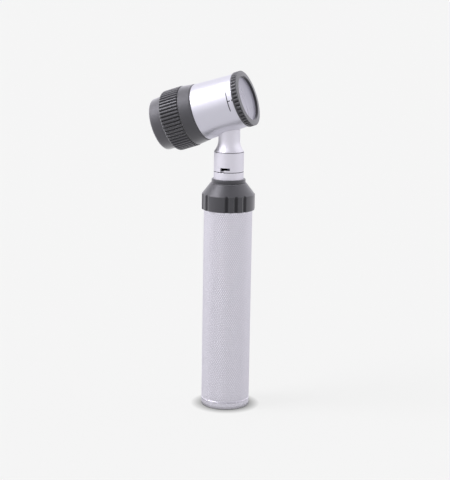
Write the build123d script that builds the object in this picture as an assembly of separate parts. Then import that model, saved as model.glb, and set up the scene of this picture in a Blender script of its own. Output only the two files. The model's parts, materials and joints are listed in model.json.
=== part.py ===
"""Hand-held dermatoscope: a two-cell battery handle with a dimmer ring, and a tilted magnifier head.

Millimetres. The origin is the centre of the handle's flat bottom and +Z runs up the handle.
The head's optical axis lies in the XZ plane, tilted up towards +X, where the contact plate is.
Head parts are drawn along a local Z that is the optical axis: local X points up and local Y
points to -Y, and a "station" is a place along that axis, counted from the handle's axis.
"""

from build123d import *
from math import cos, radians, sin
import os

# Fits, per side
RUNNING = 0.08
SLIDING = 0.05
SEATED = 0.02

# Handle
TUBE_R = 14.0
TUBE_BORE_R = 13.3
TUBE_BOTTOM = 4.3
TUBE_TOP = 118.6
TUBE_LAND_R = 13.8
CAP_FLOOR = 2.0
CAP_SPIGOT_TOP = 9.5
CAP_THREAD_PITCH = 1.0
CELL_R = 13.0
CELL_LENGTH = 50.0
CELL_NUB_LENGTH = 1.7
CELL_NUB_R = 3.4
CELL_BOTTOM = 11.0
SPRING_COIL_R = 7.5

# Dimmer ring and its switch
RING_BOTTOM = 116.5
RING_SHOULDER = 125.4
RING_TOP = 131.8
RING_R = 15.25
RING_TOP_R = 10.2
RING_ROOF = 124.5
RING_TURN = 110.0
FLUTE_GROUPS = 4
FLUTES_PER_GROUP = 3
FLUTE_STEP = 20.25
FLUTE_GROUP_ANGLE = -53.5
FLUTE_R = 1.7
FLUTE_DEPTH = 0.55
STOP_RADIUS = 9.65
STOP_PIN_R = 0.6
TRACK_TOP = 121.8

# Column, bayonet and contact
FLANGE_TOP = 120.6
COLUMN_R = 8.6
COLUMN_TOP = 138.3
SPIGOT_R = 7.32
SPIGOT_TOP = 146.5
SPIGOT_BORE_R = 3.6
SPIGOT_GROOVE_R = 5.2
SPIGOT_GROOVE_LOW = 139.2
SPIGOT_GROOVE_HIGH = 141.6
COLLAR_R = 9.75
COLLAR_TOP = 134.3
BUSH_SEAT = 121.0
BUSH_WELL_TOP = 144.3
PIN_STEM_R = 1.5
PIN_TIP = 147.2

# Bayonet socket and neck
SOCKET_R = 8.56
SOCKET_BORE_R = 7.4
SOCKET_BOTTOM = 138.45
SOCKET_TOP = 149.65
SLOT_LOW = 139.7
SLOT_HIGH = 141.1
LUG_R = 0.65
LUG_ROOT_R = 4.2
LUG_TIP_R = 8.2
LUG_ANGLE = -71.0
LUG_COUNT = 3
SLOT_START_ANGLE = -104.5
SLOT_LEG_ANGLE = -89.3
SLOT_END_ANGLE = -66.3
NECK_R = 6.2
NECK_FOOT = 156.4
NECK_BORE_R = 4.6

# Head frame
HEAD_TILT = 18.5
PIVOT_HEIGHT = 177.05

# Barrel, stations along the optical axis
BARREL_FRONT = 7.55
BARREL_REAR = -17.2
BARREL_FRONT_R = 15.25
BARREL_REAR_R = 16.2
BARREL_BORE_R = 14.4
MARK_STATION = 4.45
MARK_ANGLE = 4.2
MARK_HALF_SPAN = 21.5
MARK_WIDTH = 0.5
MARK_DEPTH = 0.14
TICK_LENGTH = 1.5

# Contact ring
CONTACT_BACK = 7.65
CONTACT_FRONT = 11.6
CONTACT_R = 15.95
CONTACT_OPENING_R = 12.8
CONTACT_RIBS = 45
HUB_R = 14.33
HUB_REAR = 1.97
GLASS_R = 13.1
GLASS_FRONT = 10.2
GLASS_BACK = 8.7
SEAL_STATION = 5.1
SEAL_WIRE_R = 0.42

# Eyepiece
MOUNT_FRONT = -17.7
MOUNT_REAR = -24.65
MOUNT_FRONT_R = 16.5
MOUNT_REAR_R = 17.35
SLEEVE_R = 15.0
SLEEVE_BORE_R = 13.3
SLEEVE_REAR = -33.5
FOCUS_FRONT = -25.15
FOCUS_REAR = -36.85
FOCUS_R = 17.65
FOCUS_RIDGES = 54
CELL_BORE_R = 11.6
LENS_R = 11.55
KEY_STATION = -30.0
KEY_R = 0.75
NECKED_R = 12.3
EYECUP_FRONT = -37.05
EYECUP_REAR = -44.4
EYECUP_R = 15.5

HEAD = Plane(
    origin=(0, 0, PIVOT_HEIGHT),
    x_dir=(-sin(radians(HEAD_TILT)), 0, cos(radians(HEAD_TILT))),
    z_dir=(cos(radians(HEAD_TILT)), 0, sin(radians(HEAD_TILT))),
).location


def in_section(points):
    """Put (radius, height) points in the plane that a turned outline is drawn in."""
    return [(radius, 0, height) for radius, height in points]


def lathe(points, rounds=None):
    """Turn a closed outline of (radius, height) points about Z; rounds maps a point to its radius."""
    radii = [(rounds or {}).get(index, 0) for index in range(len(points))]
    outline = FilletPolyline(in_section(points), radius=radii, close=True)
    return revolve(make_face(outline), Axis.Z)


def tube(outer, inner, low, high):
    """A plain ring or sleeve between two heights."""
    return lathe([(inner, low), (outer, low), (outer, high), (inner, high)])


def sector(outer, inner, low, high, start, stop):
    """Part of a ring between two angles, in degrees from X."""
    outline = Polyline(in_section([(inner, low), (outer, low), (outer, high), (inner, high)]), close=True)
    return Rot(0, 0, start) * revolve(make_face(outline), Axis.Z, revolution_arc=stop - start)


def upright(radius, low, high, x=0.0, y=0.0):
    """A vertical round bar."""
    return Pos(x, y, (low + high) / 2) * Cylinder(radius, high - low)


def radial_bar(radius, inner, outer, height, angle):
    """A round bar that points away from the Z axis."""
    bar = Pos((inner + outer) / 2, 0, height) * Rot(0, 90, 0) * Cylinder(radius, outer - inner)
    return Rot(0, 0, angle) * bar


def thread_teeth(crest, root, start, stop, pitch):
    """Outline points of a thread's crests and roots, from one height to another."""
    step = pitch if stop > start else -pitch
    count = int((stop - start) / step)
    points = []
    for index in range(count):
        base = start + index * step
        points += [(crest, base), (crest, base + 0.2 * step), (root, base + 0.6 * step)]
    return points + [(crest, start + count * step)]


def coil(wire_r, low, high, radius, turns):
    """A helical spring of round wire."""
    height = high - low - 2 * wire_r
    path = Helix(pitch=height / turns, height=height, radius=radius, center=(0, 0, low + wire_r))
    section = Plane(origin=path @ 0, z_dir=path % 0) * Circle(wire_r)
    return sweep(section, path, is_frenet=True)


def barrel_radius(station):
    """Outer radius of the barrel's slight taper at a station."""
    share = (station - BARREL_REAR) / (BARREL_FRONT - BARREL_REAR)
    return BARREL_REAR_R + share * (BARREL_FRONT_R - BARREL_REAR_R)


# ---- Battery handle ----

def battery_tube():
    land_start = RING_BOTTOM - 0.2
    return lathe([
        (TUBE_BORE_R, TUBE_BOTTOM), (TUBE_R - 0.2, TUBE_BOTTOM), (TUBE_R, TUBE_BOTTOM + 0.2),
        (TUBE_R, land_start), (TUBE_LAND_R, land_start), (TUBE_LAND_R, TUBE_TOP), (TUBE_BORE_R, TUBE_TOP),
    ])


def base_cap():
    spigot_r = TUBE_BORE_R - SLIDING
    rim = TUBE_BOTTOM - 0.05
    thread = thread_teeth(spigot_r, spigot_r - 0.35, rim + 0.4, CAP_SPIGOT_TOP, CAP_THREAD_PITCH)
    outline = [(0, 0), (TUBE_R, 0), (TUBE_R, rim - 0.2), (TUBE_R - 0.2, rim), (spigot_r, rim)]
    outline += thread
    outline += [(spigot_r, CAP_SPIGOT_TOP), (11.5, CAP_SPIGOT_TOP), (11.5, CAP_FLOOR), (0, CAP_FLOOR)]
    return lathe(outline, {1: 0.6})


def battery_spring():
    return coil(0.5, CAP_FLOOR + 0.02, CELL_BOTTOM - 0.05, SPRING_COIL_R, 3.5)


def dry_cell(bottom):
    shoulder = bottom + CELL_LENGTH - CELL_NUB_LENGTH
    top = bottom + CELL_LENGTH
    return lathe([
        (0, bottom), (CELL_R, bottom), (CELL_R, shoulder), (CELL_NUB_R, shoulder), (CELL_NUB_R, top), (0, top),
    ], {1: 0.6, 2: 0.8, 4: 0.4})


def cell_lower():
    return dry_cell(CELL_BOTTOM)


def cell_upper():
    return dry_cell(CELL_BOTTOM + CELL_LENGTH + 0.05)


def battery_contact():
    low = CELL_BOTTOM + 2 * CELL_LENGTH + 0.1
    return lathe([
        (0, low), (4.5, low), (4.5, 112.55), (PIN_STEM_R, 112.55), (PIN_STEM_R, BUSH_SEAT + 0.05),
        (2.3, BUSH_SEAT + 0.05), (2.3, BUSH_SEAT + 0.8), (0, BUSH_SEAT + 0.8),
    ])


def contact_bush():
    bore = PIN_STEM_R + RUNNING
    outer = SPIGOT_BORE_R - SEATED
    return lathe([
        (bore, 112.6), (11.45, 112.6), (11.45, 116.95), (outer, 116.95), (outer, 146.2),
        (bore, 146.2), (bore, BUSH_WELL_TOP), (2.4, BUSH_WELL_TOP), (2.4, BUSH_SEAT), (bore, BUSH_SEAT),
    ])


def contact_pin():
    shoulder_top = BUSH_WELL_TOP - 0.05
    shoulder = shoulder_top - 1.8
    return lathe([
        (0, 138.0), (1.2, 138.0), (1.2, shoulder), (2.32, shoulder), (2.32, shoulder_top),
        (PIN_STEM_R, shoulder_top), (PIN_STEM_R, PIN_TIP), (0, PIN_TIP),
    ], {6: 0.6})


def pin_spring():
    return coil(0.2, BUSH_SEAT + 0.82, BUSH_WELL_TOP - 1.87, 2.05, 12)


# ---- Dimmer ring, switch and bayonet spigot ----

def bayonet_spigot():
    body = lathe([
        (SPIGOT_BORE_R, 117.0), (11.5, 117.0), (11.5, 114.6), (TUBE_BORE_R - SEATED, 114.6),
        (TUBE_BORE_R - SEATED, TUBE_TOP), (TUBE_LAND_R, TUBE_TOP), (TUBE_LAND_R, FLANGE_TOP), (COLUMN_R, FLANGE_TOP),
        (COLUMN_R, COLUMN_TOP), (SPIGOT_R, COLUMN_TOP), (SPIGOT_R, SPIGOT_GROOVE_LOW),
        (SPIGOT_GROOVE_R, SPIGOT_GROOVE_LOW), (SPIGOT_GROOVE_R, SPIGOT_GROOVE_HIGH), (SPIGOT_R, SPIGOT_GROOVE_HIGH),
        (SPIGOT_R, SPIGOT_TOP), (SPIGOT_BORE_R, SPIGOT_TOP),
    ], {8: 0.25, 14: 0.5})
    body -= upright(STOP_PIN_R, FLANGE_TOP - 1.0, FLANGE_TOP + 1.0, STOP_RADIUS)
    for index in range(LUG_COUNT):
        body -= radial_bar(LUG_R, LUG_ROOT_R, LUG_TIP_R, (SLOT_LOW + SLOT_HIGH) / 2, LUG_ANGLE + index * 120)
    return body


def bayonet_pins():
    height = (SLOT_LOW + SLOT_HIGH) / 2
    pin = radial_bar(LUG_R - 0.01, LUG_ROOT_R + 0.02, LUG_TIP_R, height, LUG_ANGLE)
    return Compound(children=[Rot(0, 0, index * 120) * pin for index in range(LUG_COUNT)])


def stop_pin():
    return upright(STOP_PIN_R - 0.01, FLANGE_TOP - 0.98, RING_ROOF + 1.6, STOP_RADIUS)


def resistor_track():
    return sector(13.1, 10.6, FLANGE_TOP + 0.02, TRACK_TOP, 200, 500)


def rheostat_ring():
    skirt = TUBE_LAND_R + RUNNING
    ring = lathe([
        (skirt, RING_BOTTOM), (RING_R - 0.25, RING_BOTTOM), (RING_R, RING_BOTTOM + 0.4),
        (RING_R, RING_SHOULDER), (RING_TOP_R, RING_TOP), (COLUMN_R + RUNNING, RING_TOP),
        (COLUMN_R + RUNNING, RING_ROOF), (13.4, RING_ROOF), (13.4, FLANGE_TOP + 0.05),
        (skirt, FLANGE_TOP + 0.05),
    ], {3: 0.6, 4: 0.4})
    stop_margin = 5.0
    groove = sector(STOP_RADIUS + 0.7, STOP_RADIUS - 0.7, RING_ROOF - 0.1, RING_ROOF + 2.1,
                    -RING_TURN - stop_margin, stop_margin)
    ring -= groove
    offset = RING_R - FLUTE_DEPTH + FLUTE_R
    crown = RING_SHOULDER + 0.2 - FLUTE_R
    flute = upright(FLUTE_R, RING_BOTTOM - 1, crown, offset) + Pos(offset, 0, crown) * Sphere(FLUTE_R)
    cutters = []
    for group in range(FLUTE_GROUPS):
        for index in range(FLUTES_PER_GROUP):
            step = (index - (FLUTES_PER_GROUP - 1) / 2) * FLUTE_STEP
            cutters.append(Rot(0, 0, FLUTE_GROUP_ANGLE + group * 360 / FLUTE_GROUPS + step) * flute)
    return ring - cutters


def wiper():
    leaf = Polyline(
        (-2.0, 0, RING_ROOF - 0.02), (2.0, 0, RING_ROOF - 0.02), (2.0, 0, RING_ROOF - 0.42),
        (-0.6, 0, RING_ROOF - 0.42), (1.2, 0, TRACK_TOP + 0.05), (0.6, 0, TRACK_TOP + 0.05),
        (-2.0, 0, RING_ROOF - 0.42), close=True,
    )
    strip = extrude(make_face(leaf), 1.0, dir=(0, 1, 0), both=True)
    return Rot(0, 0, 150) * Pos(0, 11.9, 0) * strip


def retaining_collar():
    low = RING_TOP + 0.05
    inner = COLUMN_R + SEATED
    return lathe([(inner, low), (COLLAR_R, low), (COLLAR_R, COLLAR_TOP), (inner, COLLAR_TOP)], {1: 0.5, 2: 1.0})


# ---- Bayonet socket, neck and lamp ----

def bayonet_socket():
    socket = lathe([
        (SOCKET_BORE_R, SOCKET_BOTTOM), (SOCKET_R - 0.25, SOCKET_BOTTOM), (SOCKET_R, SOCKET_BOTTOM + 0.25),
        (SOCKET_R, SOCKET_TOP - 0.15), (SOCKET_R - 0.15, SOCKET_TOP), (SOCKET_BORE_R, SOCKET_TOP),
    ])
    for index in range(LUG_COUNT):
        turn = index * 120
        socket -= sector(9.5, 7.0, SLOT_LOW, SLOT_HIGH, SLOT_START_ANGLE + turn, SLOT_END_ANGLE + turn)
        socket -= sector(9.5, 7.0, 137.0, SLOT_LOW + 0.5, SLOT_START_ANGLE + turn, SLOT_LEG_ANGLE + turn)
    return socket


def neck_stem():
    plug_r = SOCKET_BORE_R - SEATED
    foot = SOCKET_TOP + 0.1
    inside = PIVOT_HEIGHT
    lower = Polyline(in_section([
        (NECK_BORE_R, inside), (NECK_BORE_R, 146.9), (plug_r, 146.9), (plug_r, foot), (SOCKET_R - 0.2, foot),
        (SOCKET_R - 0.05, foot + 0.2), (SOCKET_R - 0.15, foot + 0.35),
    ]))
    flare = ThreePointArc(in_section([(SOCKET_R - 0.15, foot + 0.35), (7.02, foot + 2.65), (NECK_R, NECK_FOOT)]))
    upper = Polyline(in_section([(NECK_R, NECK_FOOT), (NECK_R, inside), (NECK_BORE_R, inside)]))
    stem = revolve(make_face(lower + flare + upper), Axis.Z)
    clearance = 0.03
    envelope = lathe([
        (0, -40), (barrel_radius(-40) + clearance, -40), (barrel_radius(30) + clearance, 30), (0, 30),
    ])
    return stem - HEAD * envelope


def lamp_base():
    return lathe([
        (3.9, 147.6), (4.5, 147.6), (4.5, 157.0), (3.9, 157.0),
    ], {1: 0.2})


def lamp_insulator():
    return tube(3.88, 1.2, 147.6, 149.2)


def lamp_contact():
    return lathe([(0, 147.25), (2.0, 147.25), (2.0, 147.58), (1.18, 147.58), (1.18, 149.1), (0, 149.1)])


def lamp_bulb():
    outside = upright(3.4, 150.5, 159.6) + Pos(0, 0, 159.6) * Sphere(3.4)
    inside = upright(3.0, 149.0, 159.6) + Pos(0, 0, 159.6) * Sphere(3.0)
    return outside - inside


def lamp_filament():
    posts = upright(0.25, 149.25, 158.6, 1.5) + upright(0.25, 149.25, 158.6, -1.5)
    coil_bar = Pos(0, 0, 158.6) * Rot(0, 90, 0) * Cylinder(0.35, 4.0)
    return posts + coil_bar


# ---- Barrel and contact ring ----

def mark_band(depth_low, depth_high, width, station):
    """A short arc that follows the barrel's surface, between two depths under it."""
    radius = barrel_radius(station)
    start = 90 - MARK_ANGLE - MARK_HALF_SPAN
    return sector(radius - depth_high, radius - depth_low, station - width / 2, station + width / 2,
                  start, start + 2 * MARK_HALF_SPAN)


def mark_tick(depth_low, depth_high, width):
    """The mark's stroke along the barrel, from the arc towards the contact ring."""
    middle = MARK_STATION + TICK_LENGTH / 2
    radius = barrel_radius(middle) - (depth_low + depth_high) / 2
    stroke = Box(depth_low - depth_high, width, TICK_LENGTH)
    return Rot(0, 0, 90 - MARK_ANGLE) * Pos(radius, 0, middle) * stroke


def barrel():
    body = lathe([
        (BARREL_BORE_R, BARREL_REAR), (BARREL_REAR_R - 0.15, BARREL_REAR), (BARREL_REAR_R, BARREL_REAR + 0.15),
        (BARREL_FRONT_R, BARREL_FRONT - 0.2), (BARREL_FRONT_R - 0.2, BARREL_FRONT),
        (BARREL_BORE_R, BARREL_FRONT),
    ])
    body -= mark_band(MARK_DEPTH, -0.5, MARK_WIDTH, MARK_STATION)
    body -= mark_tick(MARK_DEPTH, -0.5, MARK_WIDTH)
    return HEAD * body - upright(NECK_BORE_R, 155, 170)


def index_mark():
    gap = 0.015
    fill = mark_band(MARK_DEPTH - gap, 0.03, MARK_WIDTH - 2 * gap, MARK_STATION)
    fill += mark_tick(MARK_DEPTH - gap, 0.03, MARK_WIDTH - 2 * gap)
    return HEAD * fill


def contact_ring():
    bore = GLASS_R + SEATED
    groove_half = 0.5
    outline = [
        (bore, HUB_REAR), (HUB_R - 0.2, HUB_REAR), (HUB_R, HUB_REAR + 0.2), (HUB_R, SEAL_STATION - groove_half),
        (HUB_R - 0.82, SEAL_STATION - groove_half), (HUB_R - 0.82, SEAL_STATION + groove_half),
        (HUB_R, SEAL_STATION + groove_half), (HUB_R, CONTACT_BACK), (CONTACT_R - 0.3, CONTACT_BACK),
        (CONTACT_R, CONTACT_BACK + 0.3), (CONTACT_R, CONTACT_FRONT - 0.6), (CONTACT_R - 0.35, CONTACT_FRONT - 0.2),
        (CONTACT_OPENING_R, CONTACT_FRONT), (CONTACT_OPENING_R, GLASS_FRONT), (bore, GLASS_FRONT),
    ]
    body = lathe(outline)
    notch = upright(0.42, CONTACT_BACK + 0.6, CONTACT_FRONT - 0.9, CONTACT_R + 0.12)
    step = 360 / CONTACT_RIBS
    body -= [Rot(0, 0, index * step) * notch for index in range(CONTACT_RIBS)]
    pointer = Pos(15.62, 0, CONTACT_BACK - 0.15) * Box(0.5, 0.9, 0.9)
    return HEAD * (body + Rot(0, 0, 90 - MARK_ANGLE) * pointer)


def contact_glass():
    return HEAD * lathe([
        (0, GLASS_BACK), (GLASS_R, GLASS_BACK), (GLASS_R, GLASS_FRONT - 0.02), (0, GLASS_FRONT - 0.02),
    ])


def glass_retainer():
    return HEAD * tube(GLASS_R - 0.02, 12.2, 7.0, GLASS_BACK - 0.02)


def plate_o_ring():
    return HEAD * Pos(0, 0, SEAL_STATION) * Torus(HUB_R - 0.38, SEAL_WIRE_R)


# ---- Eyepiece ----

def barrel_seal():
    return HEAD * tube(15.9, BARREL_BORE_R, MOUNT_FRONT + 0.02, BARREL_REAR - 0.02)


def light_baffle():
    return HEAD * lathe([
        (12.0, -18.0), (12.58, -18.0), (12.58, -12.0), (9.5, -12.0), (9.5, -12.8), (12.0, -12.8),
    ])


def eyepiece_mount():
    thread = thread_teeth(SLEEVE_R, SLEEVE_R - 0.35, MOUNT_REAR - 0.8, -29.2, 1.2)
    outline = [
        (12.6, -12.0), (BARREL_BORE_R - SEATED, -12.0), (BARREL_BORE_R - SEATED, MOUNT_FRONT),
        (MOUNT_FRONT_R - 0.25, MOUNT_FRONT), (MOUNT_FRONT_R, MOUNT_FRONT - 0.25), (MOUNT_REAR_R, MOUNT_REAR + 0.2),
        (MOUNT_REAR_R - 0.2, MOUNT_REAR), (SLEEVE_R, MOUNT_REAR),
    ]
    outline += thread
    outline += [(SLEEVE_R, SLEEVE_REAR), (SLEEVE_BORE_R, SLEEVE_REAR), (SLEEVE_BORE_R, -20.0), (12.6, -20.0)]
    body = lathe(outline)
    slot_front = -28.7
    slot = Pos(14.2, 0, (slot_front - 36) / 2) * Box(4.0, 2 * KEY_R + 0.1, slot_front + 36)
    body -= [slot, Rot(0, 0, 180) * slot]
    return HEAD * body


def lens_cell():
    outer = SLEEVE_BORE_R - SLIDING
    body = lathe([
        (CELL_BORE_R, -22.5), (outer, -22.5), (outer, -33.95), (NECKED_R, -33.95), (NECKED_R, -37.2),
        (10.9, -37.2), (10.9, -36.6), (CELL_BORE_R, -36.6),
    ])
    body -= [radial_bar(KEY_R, 11.0, 15.0, KEY_STATION, angle) for angle in (0, 180)]
    return HEAD * body


def guide_keys():
    keys = [radial_bar(KEY_R - 0.01, 11.65, 14.85, KEY_STATION, angle) for angle in (0, 180)]
    return HEAD * Compound(children=keys)


def lens(front, back, front_sag, back_sag):
    """A lens whose edge runs between two stations and whose faces bulge by the given sags."""
    body = Pos(0, 0, (front + back) / 2) * Cylinder(LENS_R, front - back + 2 * (front_sag + back_sag))
    front_ball = (LENS_R ** 2 + front_sag ** 2) / (2 * front_sag)
    back_ball = (LENS_R ** 2 + back_sag ** 2) / (2 * back_sag)
    body = body & Pos(0, 0, front + front_sag - front_ball) * Sphere(front_ball)
    return body & Pos(0, 0, back - back_sag + back_ball) * Sphere(back_ball)


def front_lens():
    return HEAD * lens(-26.0, -29.4, 1.2, 0.4)


def ocular_lens():
    return HEAD * lens(-34.6, -36.5, 1.5, 0.5)


def lens_spacer():
    return HEAD * tube(LENS_R, 10.6, -34.3, -29.6)


def lens_retainer():
    return HEAD * tube(CELL_BORE_R - SEATED, 10.6, -25.7, -24.2)


def cell_clip():
    return HEAD * sector(13.1, NECKED_R + SEATED, -36.95, -36.45, 10, 350)


def focus_ring():
    bore = SLEEVE_R + RUNNING
    neck = NECKED_R + RUNNING
    body = lathe([
        (bore, FOCUS_FRONT), (FOCUS_R - 0.4, FOCUS_FRONT), (FOCUS_R, FOCUS_FRONT - 0.5), (FOCUS_R, -35.2),
        (17.06, FOCUS_REAR), (14.4, FOCUS_REAR), (14.4, -39.5), (13.2, -39.5), (13.2, -36.4), (neck, -36.4),
        (neck, -34.0), (bore, -34.0),
    ], {3: 3.0, 4: 0.5})
    groove = upright(0.62, FOCUS_REAR - 1, FOCUS_FRONT + 1, FOCUS_R + 0.12)
    step = 360 / FOCUS_RIDGES
    body -= [Rot(0, 0, index * step) * groove for index in range(FOCUS_RIDGES)]
    return HEAD * body


def eyecup():
    inner = 14.4 + SEATED
    return HEAD * lathe([
        (inner, EYECUP_FRONT), (EYECUP_R, EYECUP_FRONT), (EYECUP_R - 0.3, EYECUP_REAR), (12.7, EYECUP_REAR),
        (12.9, -39.6), (inner, -39.6),
    ], {1: 0.3, 2: 1.2, 3: 0.9})


PARTS = [
    base_cap, battery_spring, battery_tube, cell_lower, cell_upper, battery_contact, contact_bush, contact_pin,
    pin_spring, bayonet_spigot, bayonet_pins, stop_pin, resistor_track, rheostat_ring, wiper, retaining_collar,
    bayonet_socket, neck_stem, lamp_base, lamp_insulator, lamp_contact, lamp_bulb, lamp_filament, barrel,
    index_mark, barrel_seal, eyepiece_mount, light_baffle, lens_cell, guide_keys, front_lens, ocular_lens,
    lens_spacer, lens_retainer, cell_clip, focus_ring, eyecup, contact_ring, contact_glass, glass_retainer,
    plate_o_ring,
]

os.makedirs("parts", exist_ok=True)
for part in PARTS:
    export_step(part(), f"parts/{part.__name__}.step")
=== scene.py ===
"""Looks of a hand-held dermatoscope: knurled battery handle, dimmer ring, bayonet neck and magnifier head.

Everything is in metres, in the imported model's frame: +Z runs up the handle and the head's optical
axis lies in the XZ plane. Outlines are turned about the handle's axis or about the optical axis.
"""

import json
import math

import bmesh
import bpy
import numpy as np
from mathutils import Matrix, Vector


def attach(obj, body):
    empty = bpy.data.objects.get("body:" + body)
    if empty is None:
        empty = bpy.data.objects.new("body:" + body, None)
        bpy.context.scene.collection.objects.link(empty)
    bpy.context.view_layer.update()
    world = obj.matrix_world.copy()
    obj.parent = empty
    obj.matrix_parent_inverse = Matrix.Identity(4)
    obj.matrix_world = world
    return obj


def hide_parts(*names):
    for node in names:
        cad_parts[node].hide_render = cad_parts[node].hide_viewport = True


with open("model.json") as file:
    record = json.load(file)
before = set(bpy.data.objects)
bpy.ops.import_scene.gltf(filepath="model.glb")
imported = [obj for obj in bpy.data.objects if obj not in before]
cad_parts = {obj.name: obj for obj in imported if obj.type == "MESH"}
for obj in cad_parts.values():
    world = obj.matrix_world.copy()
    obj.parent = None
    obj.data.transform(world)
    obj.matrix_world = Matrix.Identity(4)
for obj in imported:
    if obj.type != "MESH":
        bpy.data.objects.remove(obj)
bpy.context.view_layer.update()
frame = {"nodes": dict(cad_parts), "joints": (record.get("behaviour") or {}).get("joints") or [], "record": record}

MM = 0.001
UPRIGHT = Matrix.Identity(4)


# ---- Measuring the frame ----

def joint(name):
    return next(j for j in frame["joints"] if j["name"] == name)


def optical_frame():
    """Local Z along the optical axis, local X up and local Y to -Y, from the contact plate's hinge."""
    axis = Vector(joint("plate_turn")["axis"]).normalized()
    side = Vector((0, -1, 0))
    rotation = Matrix((side.cross(axis), side, axis)).transposed()
    return Matrix.Translation(Vector(joint("plate_turn")["pos_m"])) @ rotation.to_4x4()


OPTICAL = optical_frame()


class Extent:
    """How far a CAD node reaches along and around an axis: low, high, inner and outer."""

    def __init__(self, node, placing):
        mesh = frame["nodes"][node].data
        points = np.empty(len(mesh.vertices) * 3)
        mesh.vertices.foreach_get("co", points)
        points = points.reshape(-1, 3)
        into = np.array(placing.inverted())
        local = points @ into[:3, :3].T + into[:3, 3]
        radius = np.hypot(local[:, 0], local[:, 1])
        self.low, self.high = local[:, 2].min(), local[:, 2].max()
        self.inner, self.outer = radius.min(), radius.max()


# ---- Mesh making ----

def soften(outline, steps=4):
    """Round the corners of a closed outline of (radius, height, corner radius) points."""
    points = []
    count = len(outline)
    for index, (radius, height, corner) in enumerate(outline):
        here = Vector((radius, height))
        if corner <= 0:
            points.append(here)
            continue
        before = Vector(outline[index - 1][:2]) - here
        after = Vector(outline[(index + 1) % count][:2]) - here
        angle = before.angle(after)
        reach = min(corner / math.tan(angle / 2), 0.49 * before.length, 0.49 * after.length)
        true_radius = reach * math.tan(angle / 2)
        bisector = (before.normalized() + after.normalized()).normalized()
        centre = here + bisector * (true_radius / math.sin(angle / 2))
        start = here + before.normalized() * reach - centre
        stop = here + after.normalized() * reach - centre
        sweep = start.angle_signed(stop)
        for step in range(steps + 1):
            turned_by = Matrix.Rotation(-sweep * step / steps, 2)
            points.append(centre + turned_by @ start)
    return points


def refine(points, longest):
    """Split the long edges of a closed outline."""
    result = []
    for index, here in enumerate(points):
        following = points[(index + 1) % len(points)]
        pieces = max(1, math.ceil((following - here).length / longest))
        result += [here.lerp(following, piece / pieces) for piece in range(pieces)]
    return result


def skin(name, radii, heights, placing, hollows, split=None):
    """A closed mesh through rings of points, given as arrays of (ring, point around).

    Hollows are 0 on crests and plain surfaces and 1 at the bottom of grooves, and stay with the points.
    split(ring, point) says how each quad is cut: 0 not at all, 1 and 2 along one or the other diagonal.
    """
    rings, around = radii.shape
    angles = np.linspace(0, 2 * math.pi, around, endpoint=False)
    local = np.stack([radii * np.cos(angles), radii * np.sin(angles), heights], axis=2).reshape(-1, 3)
    matrix = np.array(placing)
    world = local @ matrix[:3, :3].T + matrix[:3, 3]
    ring, point = np.meshgrid(np.arange(rings), np.arange(around), indexing="ij")
    following, beside = (ring + 1) % rings, (point + 1) % around
    a, b = ring * around + point, ring * around + beside
    c, d = following * around + beside, following * around + point
    quads = np.stack([a, b, c, d], axis=2)
    faces = []
    if split is None:
        faces = quads.reshape(-1, 4).tolist()
    else:
        kinds = split(ring, point)
        faces += quads[kinds == 0].tolist()
        for kind, order in ((1, ((0, 1, 2), (0, 2, 3))), (2, ((0, 1, 3), (1, 2, 3)))):
            for corner in order:
                faces += quads[kinds == kind][:, corner].tolist()
    mesh = bpy.data.meshes.new(name)
    mesh.from_pydata(world.tolist(), [], faces)
    mesh.attributes.new("hollow", "FLOAT", "POINT").data.foreach_set("value", hollows.ravel())
    work = bmesh.new()
    work.from_mesh(mesh)
    bmesh.ops.remove_doubles(work, verts=work.verts, dist=1e-7)
    bmesh.ops.dissolve_degenerate(work, edges=work.edges, dist=1e-8)
    bmesh.ops.recalc_face_normals(work, faces=work.faces)
    work.to_mesh(mesh)
    work.free()
    piece = bpy.data.objects.new(name, mesh)
    bpy.context.scene.collection.objects.link(piece)
    return piece


def turned(name, outline, placing, segments=192, relief=None, longest=None):
    """Turn a closed outline about an axis. relief(radius, height, angle) moves points in or out."""
    points = soften(outline)
    if longest:
        points = refine(points, longest)
    radii = np.repeat(np.array([[p.x] for p in points]), segments, axis=1)
    heights = np.repeat(np.array([[p.y] for p in points]), segments, axis=1)
    hollows = np.zeros_like(radii)
    if relief:
        angles = np.linspace(0, 2 * math.pi, segments, endpoint=False)[None, :]
        lowered = relief(radii, heights, angles)
        hollows = (radii - lowered) / (radii - lowered).max()
        radii = lowered
    return skin(name, radii, heights, placing, hollows)


def block(placing, centre, size):
    """A box at a centre, with its sides along the axes of a placing."""
    work = bmesh.new()
    bmesh.ops.create_cube(work, size=1.0)
    placed = placing @ Matrix.Translation(centre) @ Matrix.Diagonal((*size, 1))
    bmesh.ops.transform(work, matrix=placed, verts=work.verts)
    mesh = bpy.data.meshes.new("block")
    work.to_mesh(mesh)
    work.free()
    box = bpy.data.objects.new("block", mesh)
    bpy.context.scene.collection.objects.link(box)
    return box


def combine(piece, tool, operation):
    """Cut one mesh out of another or join them, and drop the second."""
    modifier = piece.modifiers.new("combine", "BOOLEAN")
    modifier.object = tool
    modifier.operation = operation
    modifier.solver = "EXACT"
    graph = bpy.context.evaluated_depsgraph_get()
    result = bpy.data.meshes.new_from_object(piece.evaluated_get(graph))
    piece.modifiers.clear()
    piece.data = result
    bpy.data.objects.remove(tool)


def dress(piece, body, slot, material, *nodes, sharp=30):
    """Give a piece its shading, finish, body and the CAD nodes it stands for."""
    mesh = piece.data
    mesh.shade_smooth()
    mesh.set_sharp_from_angle(angle=math.radians(sharp))
    mesh.materials.clear()
    mesh.materials.append(material)
    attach(piece, body)
    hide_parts(*nodes)
    return piece


# ---- Materials ----

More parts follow.
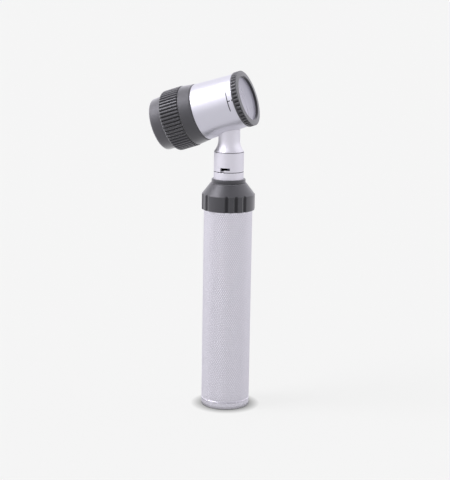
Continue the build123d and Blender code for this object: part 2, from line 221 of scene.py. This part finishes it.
class Shader:
    """A node material, or the world's, with short calls for the nodes used here."""

    def __init__(self, name, library=bpy.data.materials, surface="Principled BSDF"):
        self.material = library.new(name)
        self.material.use_nodes = True
        self.tree = self.material.node_tree
        self.surface = self.tree.nodes[surface]

    def node(self, kind, **settings):
        made = self.tree.nodes.new(kind)
        for key, value in settings.items():
            if key in made.inputs:
                made.inputs[key].default_value = value
            else:
                setattr(made, key, value)
        return made

    def link(self, output, socket):
        self.tree.links.new(output, socket)

    def place(self, scale=(1, 1, 1)):
        """Object coordinates in millimetres, stretched by scale."""
        coordinates = self.node("ShaderNodeTexCoord")
        mapping = self.node("ShaderNodeMapping")
        mapping.inputs["Scale"].default_value = [s / MM for s in scale]
        self.link(coordinates.outputs["Object"], mapping.inputs["Vector"])
        return mapping.outputs["Vector"]

    def noise(self, vector, scale, detail=3.0, roughness=0.55):
        made = self.node("ShaderNodeTexNoise")
        made.inputs["Scale"].default_value = scale
        made.inputs["Detail"].default_value = detail
        made.inputs["Roughness"].default_value = roughness
        self.link(vector, made.inputs["Vector"])
        return made.outputs["Fac"]

    def spread(self, value, low, high, start=0.3, stop=0.7):
        """Map a value's start..stop to low..high."""
        made = self.node("ShaderNodeMapRange")
        for key, number in (("From Min", start), ("From Max", stop), ("To Min", low), ("To Max", high)):
            made.inputs[key].default_value = number
        self.link(value, made.inputs["Value"])
        return made.outputs["Result"]

    def mix(self, share, first, second):
        """Blend two colours, each an (r, g, b) or a socket."""
        made = self.node("ShaderNodeMix", data_type="RGBA")
        self.link(share, made.inputs["Factor"])
        for socket, colour in ((made.inputs[6], first), (made.inputs[7], second)):
            if isinstance(colour, tuple):
                socket.default_value = (*colour, 1)
            else:
                self.link(colour, socket)
        return made.outputs[2]

    def math(self, operation, first, second=None):
        made = self.node("ShaderNodeMath", operation=operation)
        for socket, value in zip(made.inputs, (first, second)):
            if isinstance(value, (int, float)):
                socket.default_value = value
            elif value is not None:
                self.link(value, socket)
        return made.outputs[0]

    def bump(self, height, distance, strength=1.0, normal=None):
        """Surface relief: distance is in metres."""
        made = self.node("ShaderNodeBump")
        made.inputs["Distance"].default_value = distance
        made.inputs["Strength"].default_value = strength
        self.link(height, made.inputs["Height"])
        if normal:
            self.link(normal, made.inputs["Normal"])
        return made.outputs["Normal"]

    def within(self, low, high, reach):
        """1 between two heights and nearer than reach to the handle's axis, else 0, all in metres."""
        apart = self.node("ShaderNodeSeparateXYZ")
        self.link(self.node("ShaderNodeTexCoord").outputs["Object"], apart.inputs[0])
        x, y, z = apart.outputs
        squares = self.math("ADD", self.math("MULTIPLY", x, x), self.math("MULTIPLY", y, y))
        radius = self.math("SQRT", squares)
        level = self.math("MULTIPLY", self.math("GREATER_THAN", z, low), self.math("LESS_THAN", z, high))
        return self.math("MULTIPLY", level, self.math("LESS_THAN", radius, reach))

    def hollow(self):
        """0 on crests and plain surfaces, 1 at the bottom of a piece's grooves."""
        return self.node("ShaderNodeAttribute", attribute_name="hollow").outputs["Fac"]

    def soft_edge(self, radius):
        """Rounds hard CAD edges in shading, radius in metres."""
        made = self.node("ShaderNodeBevel", samples=4)
        made.inputs["Radius"].default_value = radius
        return made.outputs["Normal"]

    def finish(self, colour=None, roughness=None, normal=None, **values):
        for key, socket in (("Base Color", colour), ("Roughness", roughness), ("Normal", normal)):
            if isinstance(socket, tuple):
                self.surface.inputs[key].default_value = (*socket, 1)
            elif isinstance(socket, (int, float)):
                self.surface.inputs[key].default_value = socket
            elif socket is not None:
                self.link(socket, self.surface.inputs[key])
        for key, value in values.items():
            self.surface.inputs[key.replace("_", " ")].default_value = value
        return self.material


METAL_GRAIN = 0.002 * MM
METAL_EDGE = 0.06 * MM
PLASTIC_EDGE = 0.08 * MM


def metal(name, bright, dull, roughness, cloudiness=0.02, groove=1.0, shaded_gaps=()):
    """A satin metal: slight tone and gloss variation, fine grain, worn-smooth edges and grooves darkened as
    painted shade.

    Shaded gaps are (low, high, reach): between two heights up the handle, the metal nearer than reach to its
    axis lies in shade, which is painted into its colour as near-black.
    """
    shader = Shader(name)
    cloud = shader.noise(shader.place(), 0.22, 4)
    fine = shader.noise(shader.place(), 3.0, 3)
    tone = shader.mix(shader.spread(cloud, 0, 1), dull, bright)
    # Painted shade: the colour darkens towards the bottom of grooves, by the groove factor
    colour = shader.mix(shader.hollow(), tone, tuple(groove * c for c in bright))
    # Painted shade: metal inside these gaps is coloured near-black in place of the shadow there
    for gap in shaded_gaps:
        colour = shader.mix(shader.within(*gap), colour, PAINTED_GAP_SHADE)
    gloss = shader.math("ADD", shader.spread(cloud, roughness - cloudiness, roughness + cloudiness),
                        shader.spread(fine, -0.02, 0.02))
    normal = shader.bump(fine, METAL_GRAIN, 0.6, shader.soft_edge(METAL_EDGE))
    return shader.finish(colour, gloss, normal, Metallic=1.0)


def plastic(name, dark, light, roughness, grain=0.012, coat=0.0, shine=0.5, dust=0.0):
    """A moulding: fine grain, slightly uneven gloss, paler rubbed patches, painted shade in grooves and a dusty
    sheen.

    The grain is in millimetres.
    """
    shader = Shader(name)
    cloud = shader.noise(shader.place(), 0.18, 3)
    fine = shader.noise(shader.place(), 2.2, 2)
    hollow = shader.hollow()
    tone = shader.mix(shader.spread(cloud, 0, 1), dark, light)
    # Painted shade: grooves are darker in colour
    colour = shader.mix(hollow, tone, tuple(0.6 * c for c in dark))
    gloss = shader.math("ADD", shader.spread(cloud, roughness - 0.03, roughness + 0.03),
                        shader.spread(fine, -0.03, 0.03))
    normal = shader.bump(fine, grain * MM, 0.5, shader.soft_edge(PLASTIC_EDGE))
    # Painted shade: weaker specular reflection in grooves, along with their darker colour
    specular = shader.spread(hollow, shine, 0.3 * shine, 0, 1)
    shader.link(specular, shader.surface.inputs["Specular IOR Level"])
    return shader.finish(colour, gloss, normal, Coat_Weight=coat, Sheen_Weight=dust, Sheen_Roughness=0.45)


def clear(name, tint):
    """Optical glass: a faint tint and a few wipe marks in its gloss."""
    shader = Shader(name)
    smear = shader.noise(shader.place((1, 1, 0.2)), 0.35, 4)
    gloss = shader.spread(smear, 0.02, 0.05)
    colour = shader.mix(shader.spread(smear, 0, 1), tint, tuple(0.97 * c for c in tint))
    return shader.finish(colour, gloss, Transmission_Weight=1.0, IOR=1.5, Coat_Weight=1.0)


def coated_plate(name, dim, pale, roughness, haze):
    """The contact glass: a hazy coating, paler towards one edge as a painted reflection, and crossed by soft wipe
    streaks.
    """
    shader = Shader(name)
    glass = Extent("contact_glass", OPTICAL)
    # Painted reflection: the plate's colour grows paler along this direction
    toward = OPTICAL.to_3x3() @ Vector((-0.55, 0.83, 0))
    middle = toward.dot(OPTICAL @ Vector((0, 0, glass.high)))
    slope = shader.node("ShaderNodeVectorMath", operation="DOT_PRODUCT")
    slope.inputs[1].default_value = toward
    shader.link(shader.node("ShaderNodeTexCoord").outputs["Object"], slope.inputs[0])
    reach = 0.9 * glass.outer
    painted_reflection = shader.spread(slope.outputs["Value"], 0, 1, middle - reach, middle + reach)
    streak = shader.noise(shader.place((0.3, 1, 0.15)), 0.5, 2)
    share = shader.math("ADD", painted_reflection, shader.spread(streak, -0.12, 0.12))
    colour = shader.mix(share, dim, pale)
    gloss = shader.spread(streak, roughness - 0.04, roughness + 0.04)
    return shader.finish(colour, gloss, Transmission_Weight=1.0 - haze, IOR=1.5, Coat_Weight=0.3)


SOCKET = Extent("bayonet_socket", UPRIGHT)
# Near-black colour of the painted shade inside the bayonet gaps
PAINTED_GAP_SHADE = (0.004, 0.004, 0.005)
# Painted shade: the metal is coloured near-black behind the slot, and in the seams below and above the socket
BAYONET_GAPS = (
    (SOCKET.low + 0.7 * MM, SOCKET.low + 3.2 * MM, SOCKET.inner - 0.1 * MM),
    (SOCKET.low - 0.3 * MM, SOCKET.low + 0.12 * MM, SOCKET.outer - 0.06 * MM),
    (SOCKET.high - 0.08 * MM, SOCKET.high + 0.22 * MM, SOCKET.outer - 0.04 * MM),
)

MATERIALS = {
    # The groove factor of satin chrome paints shade into the knurl's grooves
    "satin_chrome": metal("satin_chrome", (0.94, 0.93, 0.95), (0.91, 0.90, 0.92), 0.39, groove=0.74),
    "silver_matt": metal("silver_matt", (0.86, 0.85, 0.87), (0.84, 0.83, 0.85), 0.52, shaded_gaps=BAYONET_GAPS),
    "barrel_satin": metal("barrel_satin", (0.80, 0.80, 0.83), (0.79, 0.79, 0.82), 0.33, 0.006),
    # Painted shade: the bayonet lugs take this near-black steel because they sit in the slot's shade
    "blued_steel": metal("blued_steel", (0.10, 0.10, 0.12), (0.07, 0.07, 0.09), 0.30),
    "black_satin": plastic("black_satin", (0.009, 0.009, 0.011), (0.013, 0.013, 0.015), 0.44,
                           shine=0.95, dust=0.75),
    "black_anodised": plastic("black_anodised", (0.010, 0.010, 0.012), (0.013, 0.013, 0.015), 0.52, 0.006,
                              shine=1.0, dust=1.0),
    "rubber_black": plastic("rubber_black", (0.016, 0.015, 0.019), (0.022, 0.021, 0.025), 0.52, 0.02,
                            shine=1.0, dust=1.4),
    "glass_clear": coated_plate("glass_clear", (0.34, 0.335, 0.39), (0.60, 0.59, 0.65), 0.3, 0.75),
    "lens_glass": clear("lens_glass", (0.93, 0.96, 0.98)),
    "bulb_glass": clear("bulb_glass", (0.98, 0.98, 0.98)),
    "brass": metal("brass", (0.80, 0.62, 0.30), (0.70, 0.52, 0.24), 0.30),
    "nickel": metal("nickel", (0.72, 0.70, 0.67), (0.66, 0.64, 0.61), 0.24),
    "spring_steel": metal("spring_steel", (0.55, 0.55, 0.56), (0.45, 0.45, 0.46), 0.30),
    "insulator": plastic("insulator", (0.05, 0.035, 0.03), (0.07, 0.05, 0.04), 0.45),
    "pale_insulator": plastic("pale_insulator", (0.72, 0.67, 0.58), (0.66, 0.61, 0.52), 0.5),
    "track": plastic("track", (0.02, 0.02, 0.02), (0.035, 0.035, 0.035), 0.55),
    "cell_jacket": plastic("cell_jacket", (0.08, 0.09, 0.12), (0.1, 0.11, 0.14), 0.3, coat=0.4),
    "mark_black": plastic("mark_black", (0.01, 0.01, 0.01), (0.02, 0.02, 0.02), 0.5, shine=0.2),
    "matt_black_metal": plastic("matt_black_metal", (0.012, 0.012, 0.012), (0.02, 0.02, 0.02), 0.7),
}


def finish_cad_nodes():
    """Every carried-over CAD node takes the material of its slot in the record."""
    for row in frame["record"]["subparts"]:
        mesh = frame["nodes"][row["node"]].data
        material = MATERIALS[row["material_slot"]]
        for index in range(len(mesh.materials)):
            mesh.materials[index] = material
        if not mesh.materials:
            mesh.materials.append(material)


# ---- Handle ----

KNURL_AROUND = 74
KNURL_ASPECT = math.tan(math.radians(30))
KNURL_DEPTH = 0.2 * MM


def knurl_band(radius, low, high):
    """Rings of a diamond knurl: points alternate between crest and groove crossing."""
    half_step = math.pi * radius / KNURL_AROUND / KNURL_ASPECT
    rows = max(2, round((high - low) / half_step))
    heights = np.linspace(low, high, rows + 1)
    point = np.arange(2 * KNURL_AROUND)[None, :]
    row = np.arange(rows + 1)[:, None]
    radii = radius - KNURL_DEPTH * ((row + point) % 2)
    return radii, np.repeat(heights[:, None], 2 * KNURL_AROUND, axis=1)


def knurled(name, radius, low, high, rest, placing, relief=None):
    """A knurled cylinder closed by an outline that goes on from its top back to its foot."""
    radii, heights = knurl_band(radius, low, high)
    band = len(radii)
    more = refine(soften(rest), 0.12 * MM) if relief else soften(rest)
    other_radii = np.repeat(np.array([[p.x] for p in more]), 2 * KNURL_AROUND, axis=1)
    other_heights = np.repeat(np.array([[p.y] for p in more]), 2 * KNURL_AROUND, axis=1)
    if relief:
        angles = np.linspace(0, 2 * math.pi, 2 * KNURL_AROUND, endpoint=False)[None, :]
        other_radii = relief(other_radii, other_heights, angles)

    def split(ring, point):
        inside = ring < band - 1
        return np.where(inside, np.where((ring + point) % 2 == 0, 2, 1), 0)

    hollows = np.vstack([(radius - radii) / KNURL_DEPTH, np.zeros_like(other_radii)])
    all_radii = np.vstack([radii, other_radii])
    all_heights = np.vstack([heights, other_heights])
    return skin(name, all_radii, all_heights, placing, hollows, split)


def knurled_tube():
    tube = Extent("battery_tube", UPRIGHT)
    land = tube.outer - 0.2 * MM
    foot = tube.low + 0.45 * MM
    top = Extent("rheostat_ring", UPRIGHT).low - 0.2 * MM
    rest = [
        (land, top, 0), (land, tube.high, 0), (tube.inner, tube.high, 0), (tube.inner, tube.low, 0),
        (tube.outer - 0.35 * MM, tube.low, 0.1 * MM), (tube.outer - 0.1 * MM, foot - 0.1 * MM, 0),
    ]
    piece = knurled("knurled_tube", tube.outer, foot, top, rest, UPRIGHT)
    dress(piece, "handle", "satin_chrome", MATERIALS["satin_chrome"], "battery_tube", sharp=12)


def knurled_cap():
    cap = Extent("base_cap", UPRIGHT)
    tube = Extent("battery_tube", UPRIGHT)
    rim = tube.low - 0.05 * MM
    spigot = tube.inner - 0.05 * MM
    floor = Extent("battery_spring", UPRIGHT).low - 0.02 * MM
    wall = cap.outer - 2.5 * MM
    side = cap.outer - 0.1 * MM
    pitch, tooth_depth = 1.0 * MM, 0.32 * MM
    thread_start = rim + 0.5 * MM

    def thread(radii, heights, angles):
        phase = (heights / pitch - angles / (2 * math.pi)) % 1.0
        tooth = np.clip(np.abs(phase - 0.5) * 4 - 0.6, 0, 1)
        fade = np.clip((heights - thread_start) / (0.6 * pitch), 0, 1)
        fade *= np.clip((cap.high - heights) / (0.4 * pitch), 0, 1)
        on_side = np.abs(radii - spigot) < 0.02 * MM
        return radii - on_side * fade * tooth * tooth_depth

    rest = [
        (side, rim - 0.3 * MM, 0), (cap.outer - 0.75 * MM, rim, 0.05 * MM), (spigot, rim, 0),
        (spigot, cap.high, 0), (wall, cap.high, 0.1 * MM), (wall, floor, 0), (0, floor, 0), (0, cap.low, 0),
        (side, cap.low, 0.6 * MM), (side, cap.low + 0.75 * MM, 0),
    ]
    piece = knurled("knurled_cap", cap.outer, cap.low + 0.85 * MM, rim - 0.45 * MM, rest, UPRIGHT, thread)
    dress(piece, "cap", "satin_chrome", MATERIALS["satin_chrome"], "base_cap", sharp=12)


def dimmer_ring():
    ring = Extent("rheostat_ring", UPRIGHT)
    tube = Extent("battery_tube", UPRIGHT)
    spigot = Extent("bayonet_spigot", UPRIGHT)
    collar = Extent("retaining_collar", UPRIGHT)
    shoulder = ring.low + 8.9 * MM
    groups, per_group, step, first = 4, 3, math.radians(20.25), math.radians(-53.5)
    half_width, depth = 1.32 * MM / ring.outer, 0.55 * MM
    crown = shoulder - 0.75 * MM
    cone_top = ring.outer - 4.94 * MM
    bore = collar.inner + 0.06 * MM
    chamber = 13.4 * MM
    roof = ring.low + 8.0 * MM
    skirt = tube.outer - 0.12 * MM
    flange_top = spigot.low + 6.0 * MM

    def flutes(radii, heights, angles):
        result = radii.copy()
        outside = radii > tube.outer + 0.3 * MM
        above = np.clip((heights - crown) / (1.3 * MM), 0, 1)
        reach = half_width * np.sqrt(np.clip(1 - above ** 2, 0, 1))
        for group in range(groups):
            for index in range(per_group):
                middle = first + group * 2 * math.pi / groups + (index - (per_group - 1) / 2) * step
                off = np.abs((angles - middle + math.pi) % (2 * math.pi) - math.pi)
                hollow = np.clip(1 - (off / np.maximum(reach, 1e-6)) ** 2, 0, 1) ** 0.6
                result -= outside * depth * hollow * np.sqrt(np.clip(1 - above ** 2, 0, 1))
        return result

    outline = [
        (skirt, ring.low, 0.1 * MM), (ring.outer, ring.low, 0.45 * MM), (ring.outer, shoulder, 0.5 * MM),
        (cone_top, ring.high, 0.5 * MM), (bore, ring.high, 0.1 * MM), (bore, roof, 0), (chamber, roof, 0),
        (chamber, flange_top, 0), (skirt, flange_top, 0),
    ]
    piece = turned("dimmer_ring", outline, UPRIGHT, 720, flutes, 0.3 * MM)
    dress(piece, "dimmer", "black_satin", MATERIALS["black_satin"], "rheostat_ring", sharp=40)


def collar_ring():
    collar = Extent("retaining_collar", UPRIGHT)
    outline = [
        (collar.inner, collar.low, 0), (collar.outer, collar.low, 0.5 * MM),
        (collar.outer, collar.high, 1.0 * MM), (collar.inner, collar.high, 0.15 * MM),
    ]
    piece = turned("collar_ring", outline, UPRIGHT)
    dress(piece, "handle", "black_satin", MATERIALS["black_satin"], "retaining_collar")


# ---- Head ----

def fixed_ring():
    """The dark eyepiece mount: its cone, its spigot in the barrel and its threaded focusing sleeve."""
    mount = Extent("eyepiece_mount", OPTICAL)
    barrel = Extent("barrel", OPTICAL)
    cell = Extent("lens_cell", OPTICAL)
    keys = Extent("guide_keys", OPTICAL)
    front = Extent("barrel_seal", OPTICAL).low - 0.02 * MM
    rear = Extent("focus_ring", OPTICAL).high + 0.5 * MM
    front_radius, front_bore = 16.5 * MM, 12.6 * MM
    spigot = barrel.inner - 0.02 * MM
    sleeve = keys.outer + 0.15 * MM
    bore = cell.outer + 0.05 * MM
    bore_end = mount.low + 13.5 * MM
    starts, pitch, tooth_depth = 6, 1.2 * MM, 0.34 * MM

    def thread(radii, heights, angles):
        phase = (heights / pitch - starts * angles / (2 * math.pi)) % 1.0
        tooth = np.clip(np.abs(phase - 0.5) * 4 - 0.6, 0, 1)
        fade = np.clip((rear - 0.5 * MM - heights) / (0.5 * MM), 0, 1)
        fade *= np.clip((heights - mount.low) / (0.3 * MM), 0, 1)
        return radii - (np.abs(radii - sleeve) < 0.03 * MM) * fade * tooth * tooth_depth

    outline = [
        (front_bore, mount.high, 0.1 * MM), (spigot, mount.high, 0.2 * MM), (spigot, front, 0),
        (front_radius, front, 0.3 * MM), (mount.outer, rear, 0.25 * MM), (sleeve, rear, 0),
        (sleeve, mount.low, 0), (bore, mount.low, 0), (bore, bore_end, 0), (front_bore, bore_end, 0),
    ]
    piece = turned("fixed_ring", outline, OPTICAL, 288, thread, 0.3 * MM)
    slot_end, slot_length = mount.low + 4.8 * MM, 8.0 * MM
    for side in (1, -1):
        centre = (side * 14.5 * MM, 0, slot_end - slot_length / 2)
        combine(piece, block(OPTICAL, centre, (5.0 * MM, 1.6 * MM, slot_length)), "DIFFERENCE")
    dress(piece, "head", "black_anodised", MATERIALS["black_anodised"], "eyepiece_mount", sharp=35)


def focus_grip():
    ring = Extent("focus_ring", OPTICAL)
    mount = Extent("eyepiece_mount", OPTICAL)
    keys = Extent("guide_keys", OPTICAL)
    clip = Extent("cell_clip", OPTICAL)
    ridges, points_per_ridge, depth = 54, 12, 0.75 * MM
    grip_from = 16.6 * MM
    rear = ring.low + 2.65 * MM
    collar, collar_bore = 14.4 * MM, 13.2 * MM
    shelf = clip.high + 0.05 * MM
    bore = keys.outer + 0.23 * MM
    neck = clip.inner + 0.06 * MM
    cavity = mount.low - 0.5 * MM

    def grooves(radii, heights, angles):
        phase = (angles * ridges / (2 * math.pi)) % 1.0
        off = np.abs(phase - 0.5) * 2
        groove = np.sqrt(np.clip((off - 0.4) / 0.6, 0, 1))
        fade = np.clip((heights - rear - 0.25 * MM) / (0.8 * MM), 0, 1)
        return radii - (radii > grip_from) * depth * groove * fade

    outline = [
        (bore, ring.high, 0.1 * MM), (ring.outer, ring.high, 0.2 * MM), (ring.outer, rear, 1.3 * MM),
        (collar, rear, 0), (collar, ring.low, 0.15 * MM), (collar_bore, ring.low, 0.15 * MM),
        (collar_bore, shelf, 0), (neck, shelf, 0), (neck, cavity, 0), (bore, cavity, 0),
    ]
    piece = turned("focus_grip", outline, OPTICAL, ridges * points_per_ridge, grooves, 0.35 * MM)
    dress(piece, "focus", "black_satin", MATERIALS["black_satin"], "focus_ring", sharp=40)


def rubber_cup():
    cup = Extent("eyecup", OPTICAL)
    seat = 14.42 * MM
    eye_opening, inner_opening = 12.7 * MM, 12.9 * MM
    seat_end = cup.low + 4.3 * MM
    outline = [
        (seat, cup.high, 0.1 * MM), (cup.outer, cup.high, 0.3 * MM),
        (cup.outer - 0.3 * MM, cup.low, 1.2 * MM), (eye_opening, cup.low, 0.9 * MM),
        (inner_opening, seat_end, 0), (seat, seat_end, 0),
    ]
    piece = turned("rubber_cup", outline, OPTICAL, 256, None, 0.8 * MM)
    dress(piece, "focus", "rubber_black", MATERIALS["rubber_black"], "eyecup")


def ribbed_contact_ring():
    ring = Extent("contact_ring", OPTICAL)
    glass = Extent("contact_glass", OPTICAL)
    seal = Extent("plate_o_ring", OPTICAL)
    barrel = Extent("barrel", OPTICAL)
    middle = (seal.low + seal.high) / 2
    groove_low, groove_high = middle - 0.5 * MM, middle + 0.5 * MM
    hub = barrel.inner - 0.07 * MM
    groove_floor = hub - 0.82 * MM
    glass_seat = glass.outer + 0.02 * MM
    glass_stop = glass.high + 0.02 * MM
    back = barrel.high + 0.1 * MM
    front = ring.high
    ribs, points_per_rib, depth, half_width = 45, 16, 0.45 * MM, 0.72 * MM / ring.outer
    rib_floor = 15.5 * MM
    pocket = back + 1.55 * MM
    pointer_angle = math.radians(90 - 4.2)

    def pockets(radii, heights, angles):
        """Grooves with a round end at the back and a thin wall at the front."""
        off = np.abs((angles * ribs / (2 * math.pi)) % 1.0 - 0.5) * 2 * math.pi / ribs
        behind = np.clip((pocket - heights) / (0.75 * MM), 0, 1)
        round_end = np.sqrt(1 - behind ** 2)
        reach = half_width * round_end
        hollow = np.clip(1 - (off / np.maximum(reach, 1e-6)) ** 2, 0, 1) ** 0.5
        ahead = np.clip((front - 0.5 * MM - heights) / (0.2 * MM), 0, 1)
        return radii - (radii > rib_floor) * depth * hollow * round_end * ahead

    outline = [
        (glass_seat, ring.low, 0.1 * MM), (hub, ring.low, 0.2 * MM), (hub, groove_low, 0),
        (groove_floor, groove_low, 0), (groove_floor, groove_high, 0), (hub, groove_high, 0),
        (hub, back, 0), (ring.outer, back, 0.3 * MM), (ring.outer, front - 0.25 * MM, 0.2 * MM),
        (ring.inner, front, 0.1 * MM), (ring.inner, glass_stop, 0), (glass_seat, glass_stop, 0),
    ]
    piece = turned("ribbed_contact_ring", outline, OPTICAL, ribs * points_per_rib, pockets, 0.22 * MM)
    placing = OPTICAL @ Matrix.Rotation(pointer_angle, 4, "Z")
    pointer = block(placing, (rib_floor, 0, back - 0.25 * MM), (0.7 * MM, 0.9 * MM, 0.9 * MM))
    combine(piece, pointer, "UNION")
    dress(piece, "contact_plate", "black_satin", MATERIALS["black_satin"], "contact_ring", sharp=40)


# ---- Stage ----

CAMERA_AZIMUTH = math.radians(19.53)
CAMERA_PITCH = math.radians(11.36)
CAMERA_ROLL = math.radians(0.93)
CAMERA_DISTANCE = 0.7307
CAMERA_SHIFT = -0.0015
CAMERA_HEIGHT = 0.245
CAMERA_LENS = 96.7
PAPER = 0.922
STUDIO_TINT = (1.0, 0.98, 1.08)
FLOOR_HALF_WIDTH = 30.0
FLOOR_ALBEDO = 0.12
FLOOR_GLOW = 0.756
FLOOR_IN_REFLECTIONS = 0.66
FOOT_SHADOW = 0.27
FOOT_SHADOW_IN_REFLECTIONS = 0.08
FOOT_SHADOW_REACH = 6.5 * MM


def camera():
    """A long lens in front of the object and above it, looking down a little and slightly rolled."""
    data = bpy.data.cameras.new("camera")
    data.lens = CAMERA_LENS
    data.sensor_width = 36.0
    data.clip_start = 0.01
    eye = bpy.data.objects.new("camera", data)
    turn = Matrix.Rotation(CAMERA_AZIMUTH, 4, "Z")
    stand = Matrix.Translation((CAMERA_SHIFT, -CAMERA_DISTANCE, CAMERA_HEIGHT))
    look = Matrix.Rotation(math.pi / 2 - CAMERA_PITCH, 4, "X") @ Matrix.Rotation(CAMERA_ROLL, 4, "Z")
    eye.matrix_world = turn @ stand @ look
    bpy.context.scene.collection.objects.link(eye)
    bpy.context.scene.camera = eye


# Glows of the studio around the object, in degrees: azimuth from the camera's direction and positive
# to the right, elevation, and the angles where the glow is full and where it ends, then its strength.
GLOWS = (
    (-78, 44, 8, 20, 7.5),
    (-88, 12, 15, 60, 0.40),
    (95, 12, 15, 55, 0.30),
    (10, 10, 10, 75, -0.25),
)


def direction(azimuth, elevation):
    """Unit vector at an azimuth from the camera's direction, in degrees."""
    around = CAMERA_AZIMUTH + math.radians(azimuth)
    up = math.radians(elevation)
    return Vector((math.sin(around) * math.cos(up), -math.cos(around) * math.cos(up), math.sin(up)))


def surroundings():
    """A pale studio: the camera sees plain paper, the object soft boxes and a dim side by the camera."""
    shader = Shader("studio", bpy.data.worlds, "Background")
    toward = shader.node("ShaderNodeTexCoord").outputs["Generated"]
    level = PAPER
    for azimuth, elevation, full, end, strength in GLOWS:
        facing = shader.node("ShaderNodeVectorMath", operation="DOT_PRODUCT")
        facing.inputs[1].default_value = direction(azimuth, elevation)
        shader.link(toward, facing.inputs[0])
        glow = shader.node("ShaderNodeMapRange", interpolation_type="SMOOTHSTEP")
        glow.inputs["From Min"].default_value = math.cos(math.radians(end))
        glow.inputs["From Max"].default_value = math.cos(math.radians(full))
        glow.inputs["To Max"].default_value = strength
        shader.link(facing.outputs["Value"], glow.inputs["Value"])
        level = shader.math("ADD", glow.outputs["Result"], level)
    tinted = shader.node("ShaderNodeVectorMath", operation="SCALE")
    tinted.inputs[0].default_value = STUDIO_TINT
    shader.link(level, tinted.inputs["Scale"])
    seen = shader.node("ShaderNodeLightPath").outputs["Is Camera Ray"]
    paper = (PAPER, PAPER, PAPER)
    shader.link(shader.mix(seen, tinted.outputs["Vector"], paper), shader.surface.inputs["Color"])
    bpy.context.scene.world = shader.material
    bpy.context.scene.view_settings.view_transform = "Standard"


def floor():
    """Pale paper that glows, with a painted shadow that dims it around the foot, and painted shade that makes it
    duller in reflections than to the camera.
    """
    mesh = bpy.data.meshes.new("floor")
    half = FLOOR_HALF_WIDTH
    corners = [(-half, -half, 0), (half, -half, 0), (half, half, 0), (-half, half, 0)]
    mesh.from_pydata(corners, [], [(0, 1, 2, 3)])
    ground = bpy.data.objects.new("floor", mesh)
    bpy.context.scene.collection.objects.link(ground)
    shader = Shader("paper")
    mirrored = shader.node("ShaderNodeLightPath").outputs["Is Glossy Ray"]
    own = tuple(FLOOR_ALBEDO / channel for channel in STUDIO_TINT)
    reflected = tuple(FLOOR_IN_REFLECTIONS * channel for channel in STUDIO_TINT)
    distance = shader.node("ShaderNodeVectorMath", operation="LENGTH")
    shader.link(shader.node("ShaderNodeTexCoord").outputs["Object"], distance.inputs[0])
    near = Extent("base_cap", UPRIGHT).outer
    away = shader.spread(distance.outputs["Value"], 0, 1, near, near + FOOT_SHADOW_REACH)
    # Painted shadow: the paper's glow dims near the foot, to the camera and in reflections
    glow = shader.mix(away, 3 * (FOOT_SHADOW,), 3 * (FLOOR_GLOW,))
    reflection = shader.mix(away, 3 * (FOOT_SHADOW_IN_REFLECTIONS,), reflected)
    shader.link(shader.mix(mirrored, glow, reflection), shader.surface.inputs["Emission Color"])
    colour = shader.mix(mirrored, own, (0.0, 0.0, 0.0))
    shader.finish(colour, 0.9, Specular_IOR_Level=0.0, Emission_Strength=1.0)
    mesh.materials.append(shader.material)


finish_cad_nodes()
knurled_tube()
knurled_cap()
dimmer_ring()
collar_ring()
fixed_ring()
focus_grip()
rubber_cup()
ribbed_contact_ring()
camera()
surroundings()
floor()
